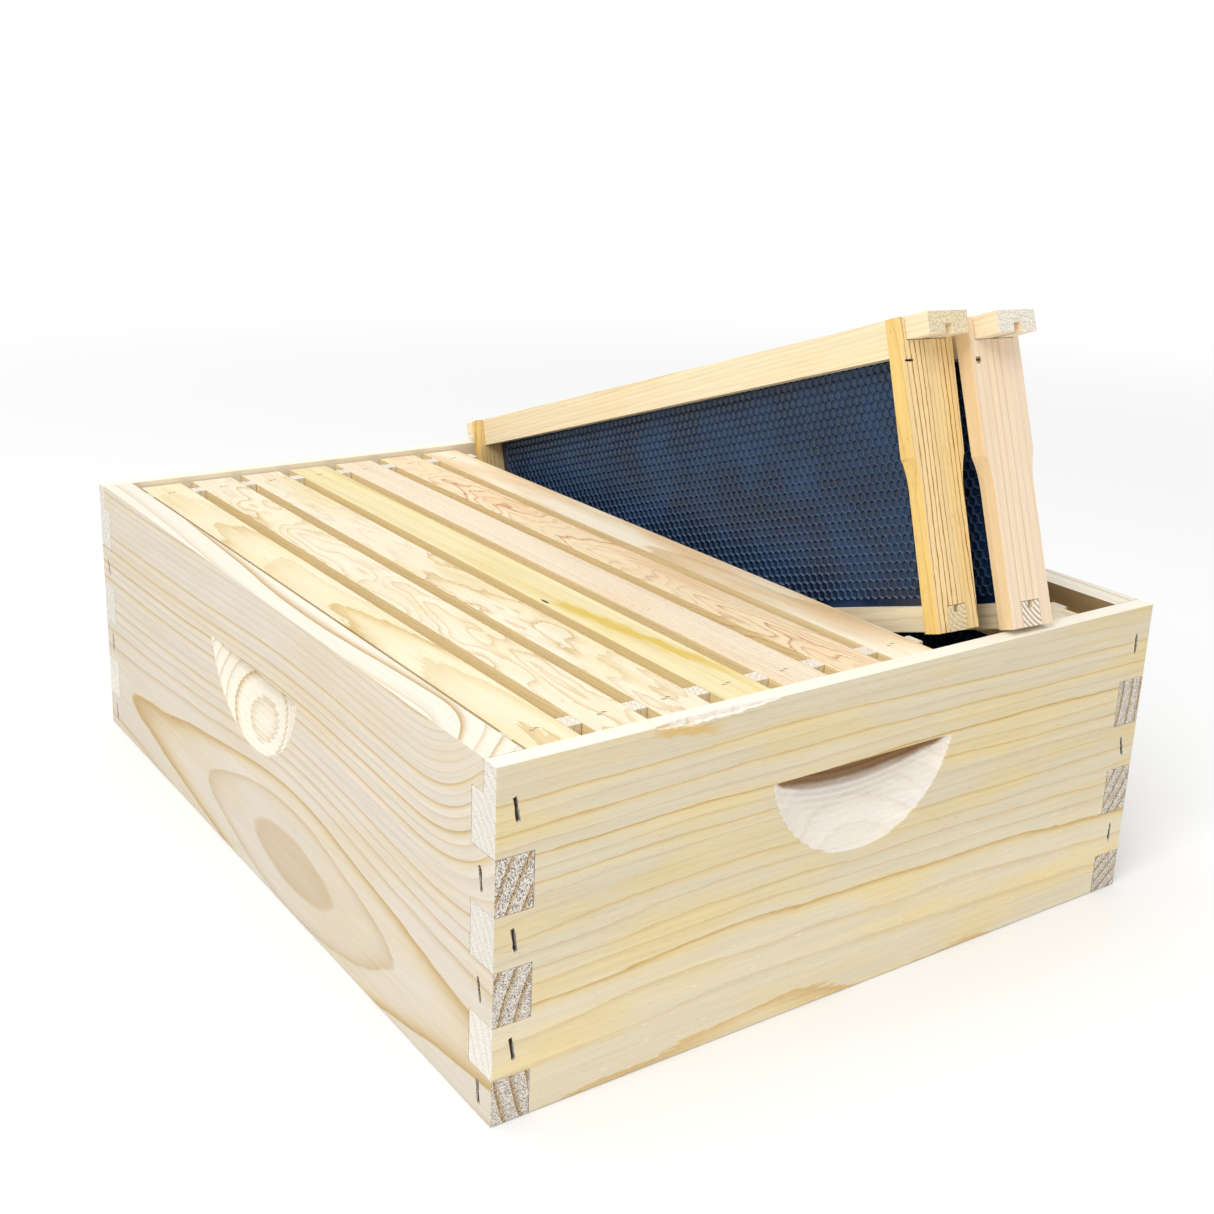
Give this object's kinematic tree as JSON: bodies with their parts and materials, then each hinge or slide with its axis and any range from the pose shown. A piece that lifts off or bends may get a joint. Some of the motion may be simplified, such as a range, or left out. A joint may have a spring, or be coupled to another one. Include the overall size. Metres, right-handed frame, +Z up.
{
  "type": "hive super",
  "caption": "Open wooden hive super: finger-jointed box with handholds and rabbeted ends, holding hanging frames of dark plastic foundation, some tipped up for inspection.",
  "frame": {"origin": "bottom centre of the bounding box of the whole object, with its frames where they are at rest", "axes": "+Z up, +Y along the frames away from the end board beside the tipped frames' raised ends, +X across the frames towards the tipped ones"},
  "size_m": [0.4128, 0.5104, 0.3271],
  "materials": {
    "front_pine": "bare planed pine, matt",
    "side_pine": "bare planed pine, matt",
    "frame_pine": "bare sanded pine, matt",
    "golden_pine": "bare golden pine, matt",
    "red_pine": "bare reddish pine, matt",
    "pink_pine": "bare pinkish pine, matt",
    "foundation_plastic": "embossed moulded plastic, low sheen",
    "staple_steel": "dark oxidised wire"
  },
  "bodies": {
    "box": {"front_board": "front_pine", "rear_board": "front_pine", "left_board": "side_pine", "right_board": "side_pine", "front_staple_1": "staple_steel", "front_staple_2": "staple_steel", "front_staple_3": "staple_steel", "side_staple_1": "staple_steel", "side_staple_2": "staple_steel", "side_staple_3": "staple_steel"},
    "frame_01": {"frame_01_top_bar": "frame_pine", "frame_01_front_end_bar": "frame_pine", "frame_01_rear_end_bar": "frame_pine", "frame_01_bottom_bar": "frame_pine", "frame_01_foundation": "foundation_plastic"},
    "frame_02": {"frame_02_top_bar": "frame_pine", "frame_02_front_end_bar": "frame_pine", "frame_02_rear_end_bar": "frame_pine", "frame_02_bottom_bar": "frame_pine", "frame_02_foundation": "foundation_plastic"},
    "frame_03": {"frame_03_top_bar": "frame_pine", "frame_03_front_end_bar": "frame_pine", "frame_03_rear_end_bar": "frame_pine", "frame_03_bottom_bar": "frame_pine", "frame_03_foundation": "foundation_plastic"},
    "frame_04": {"frame_04_top_bar": "golden_pine", "frame_04_front_end_bar": "frame_pine", "frame_04_rear_end_bar": "frame_pine", "frame_04_bottom_bar": "golden_pine", "frame_04_foundation": "foundation_plastic"},
    "frame_05": {"frame_05_top_bar": "frame_pine", "frame_05_front_end_bar": "frame_pine", "frame_05_rear_end_bar": "frame_pine", "frame_05_bottom_bar": "frame_pine", "frame_05_foundation": "foundation_plastic"},
    "frame_06": {"frame_06_top_bar": "red_pine", "frame_06_front_end_bar": "frame_pine", "frame_06_rear_end_bar": "frame_pine", "frame_06_bottom_bar": "red_pine", "frame_06_foundation": "foundation_plastic"},
    "frame_07": {"frame_07_top_bar": "frame_pine", "frame_07_front_end_bar": "frame_pine", "frame_07_rear_end_bar": "frame_pine", "frame_07_bottom_bar": "frame_pine", "frame_07_foundation": "foundation_plastic"},
    "frame_08": {"frame_08_top_bar": "frame_pine", "frame_08_front_end_bar": "golden_pine", "frame_08_rear_end_bar": "golden_pine", "frame_08_bottom_bar": "frame_pine", "frame_08_foundation": "foundation_plastic"},
    "frame_09": {"frame_09_top_bar": "pink_pine", "frame_09_front_end_bar": "pink_pine", "frame_09_rear_end_bar": "pink_pine", "frame_09_bottom_bar": "pink_pine", "frame_09_foundation": "foundation_plastic"},
    "frame_10": {"frame_10_top_bar": "frame_pine", "frame_10_front_end_bar": "frame_pine", "frame_10_rear_end_bar": "frame_pine", "frame_10_bottom_bar": "frame_pine", "frame_10_foundation": "foundation_plastic"}
  },
  "joints": [
    {"name": "frame_01_lift", "type": "slide", "parent": "box", "child": "frame_01", "axis": [0, 0, 1], "range_m": [0, 0.2]},
    {"name": "frame_02_lift", "type": "slide", "parent": "box", "child": "frame_02", "axis": [0, 0, 1], "range_m": [0, 0.2]},
    {"name": "frame_03_lift", "type": "slide", "parent": "box", "child": "frame_03", "axis": [0, 0, 1], "range_m": [0, 0.2]},
    {"name": "frame_04_lift", "type": "slide", "parent": "box", "child": "frame_04", "axis": [0, 0, 1], "range_m": [0, 0.2]},
    {"name": "frame_05_lift", "type": "slide", "parent": "box", "child": "frame_05", "axis": [0, 0, 1], "range_m": [0, 0.2]},
    {"name": "frame_06_lift", "type": "slide", "parent": "box", "child": "frame_06", "axis": [0, 0, 1], "range_m": [0, 0.2]},
    {"name": "frame_07_lift", "type": "slide", "parent": "box", "child": "frame_07", "axis": [0, 0, 1], "range_m": [0, 0.2]},
    {"name": "frame_08_tip", "type": "hinge", "parent": "box", "child": "frame_08", "pos_m": [0.08662, 0.24958, 0.1683], "axis": [-0.9998, 0.0192, 0], "range_deg": [0, 30]},
    {"name": "frame_09_tip", "type": "hinge", "parent": "box", "child": "frame_09", "pos_m": [0.12364, 0.23938, 0.16454], "axis": [-0.9998, 0.0192, 0], "range_deg": [0, 10]},
    {"name": "frame_10_lift", "type": "slide", "parent": "box", "child": "frame_10", "axis": [0, 0, 1], "range_m": [0, 0.2]}
  ]
}
